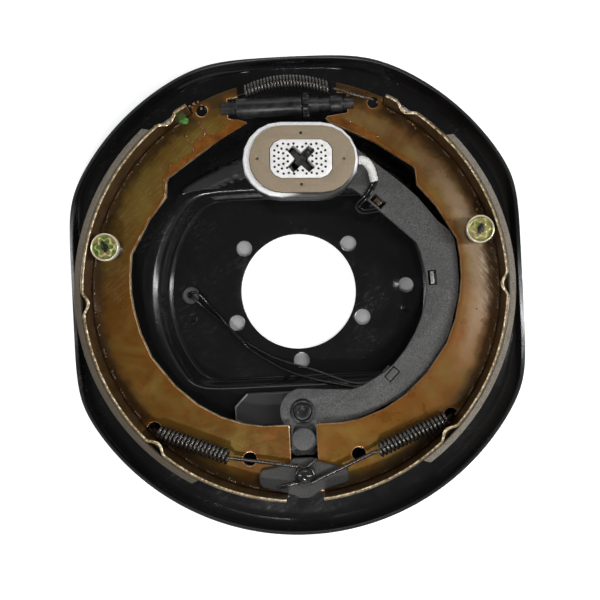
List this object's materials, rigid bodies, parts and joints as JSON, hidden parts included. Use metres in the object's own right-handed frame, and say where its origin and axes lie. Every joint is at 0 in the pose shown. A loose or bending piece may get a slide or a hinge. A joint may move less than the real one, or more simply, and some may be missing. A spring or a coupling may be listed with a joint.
{
  "type": "electric trailer brake assembly",
  "caption": "Drum brake for a trailer axle: pressed backing plate, two lined shoes, screw adjuster, lever and sprung oval electromagnet with its leads",
  "frame": {"origin": "On the mounting face, the back of the plate's pan, below the middle of the plate's outline. The axle's axis is parallel to Z at x 0, y 0.0041 m.", "axes": "+Z is the axle's direction to the open side, where the magnet meets the drum. +Y points to the shoe adjuster and -Y to the anchor post. The lever bows out to +X."},
  "size_m": [0.331, 0.3522, 0.0705],
  "materials": {
    "plate_black": "glossy black coating on pressed sheet steel, scuffed in the pan",
    "black_rubber": "matt black rubber and lead insulation",
    "dark_steel": "dark oiled steel",
    "lever_grey": "mottled grey phosphate",
    "retainer_grey": "dark grey stamped steel",
    "spring_black": "glossy black spring wire",
    "yellow_zinc": "yellow zinc plating",
    "web_varnish": "amber varnish over steel, with runs",
    "table_varnish": "dark amber varnish",
    "lining_grey": "speckled grey friction material",
    "case_zinc": "bright zinc plating",
    "friction_face": "taupe friction material",
    "core_pale": "pale plated core",
    "coil_winding": "enamelled copper winding",
    "sleeve_white": "white woven sleeve"
  },
  "bodies": {
    "frame": {"backing_plate": "plate_black", "pivot_bracket": "plate_black", "anchor_post": "dark_steel", "lever_stud": "dark_steel", "shoe_retainer": "retainer_grey", "lead_grommet": "black_rubber", "adjuster_slot_plug": "black_rubber", "adjuster_nut": "dark_steel", "adjuster_socket": "dark_steel", "adjuster_spring": "spring_black", "left_retract_spring": "spring_black", "right_retract_spring": "spring_black", "left_hold_down_pin": "dark_steel", "right_hold_down_pin": "dark_steel", "left_hold_down_spring": "spring_black", "right_hold_down_spring": "spring_black"},
    "left_shoe": {"left_shoe_web": "web_varnish", "left_shoe_table": "table_varnish", "left_shoe_lining": "lining_grey"},
    "right_shoe": {"right_shoe_web": "web_varnish", "right_shoe_table": "table_varnish", "right_shoe_lining": "lining_grey"},
    "adjuster_wheel": {"adjuster_screw": "dark_steel"},
    "lever": {"lever_arm": "lever_grey", "lever_bushing": "dark_steel", "actuating_pin": "lever_grey", "magnet_post": "dark_steel", "magnet_clip": "dark_steel", "magnet_spring": "spring_black", "lead_sleeve": "sleeve_white", "inner_lead": "black_rubber", "outer_lead": "black_rubber"},
    "magnet": {"magnet_case": "case_zinc", "magnet_face": "friction_face", "magnet_core": "core_pale", "magnet_coil": "coil_winding"},
    "left_cup": {"left_hold_down_cup": "yellow_zinc"},
    "right_cup": {"right_hold_down_cup": "yellow_zinc"}
  },
  "joints": [
    {"name": "lever_swing", "type": "hinge", "parent": "frame", "child": "lever", "pos_m": [0, -0.08328, 0.033], "axis": [0, 0, 1], "range_deg": [-2.4, 2.4], "stiffness_Nm_per_rad": 3, "deforming": ["inner_lead", "outer_lead"]},
    {"name": "magnet_press", "type": "slide", "parent": "lever", "child": "magnet", "axis": [0, 0, 1], "range_m": [-0.003, 0], "stiffness_N_per_m": 2500, "springref_m": 0.004, "deforming": ["magnet_spring", "lead_sleeve", "inner_lead", "outer_lead"]},
    {"name": "left_shoe_swing", "type": "hinge", "parent": "frame", "child": "left_shoe", "pos_m": [-0.0425, 0.13462, 0.0434], "axis": [0, 0, -1], "range_deg": [0, 0.9], "stiffness_Nm_per_rad": 40, "springref_deg": -2.86, "deforming": ["left_retract_spring", "adjuster_spring"]},
    {"name": "right_shoe_swing", "type": "hinge", "parent": "frame", "child": "right_shoe", "pos_m": [0.0425, 0.13462, 0.0434], "axis": [0, 0, 1], "range_deg": [0, 0.9], "stiffness_Nm_per_rad": 40, "springref_deg": -2.86, "deforming": ["right_retract_spring", "adjuster_spring"]},
    {"name": "star_wheel_turn", "type": "hinge", "parent": "frame", "child": "adjuster_wheel", "pos_m": [0.013, 0.13462, 0.0434], "axis": [1, 0, 0], "continuous": true},
    {"name": "left_cup_press", "type": "slide", "parent": "frame", "child": "left_cup", "axis": [0, 0, 1], "range_m": [-0.004, 0], "stiffness_N_per_m": 2500, "springref_m": 0.006, "deforming": ["left_hold_down_spring"]},
    {"name": "right_cup_press", "type": "slide", "parent": "frame", "child": "right_cup", "axis": [0, 0, 1], "range_m": [-0.004, 0], "stiffness_N_per_m": 2500, "springref_m": 0.006, "deforming": ["right_hold_down_spring"]}
  ]
}
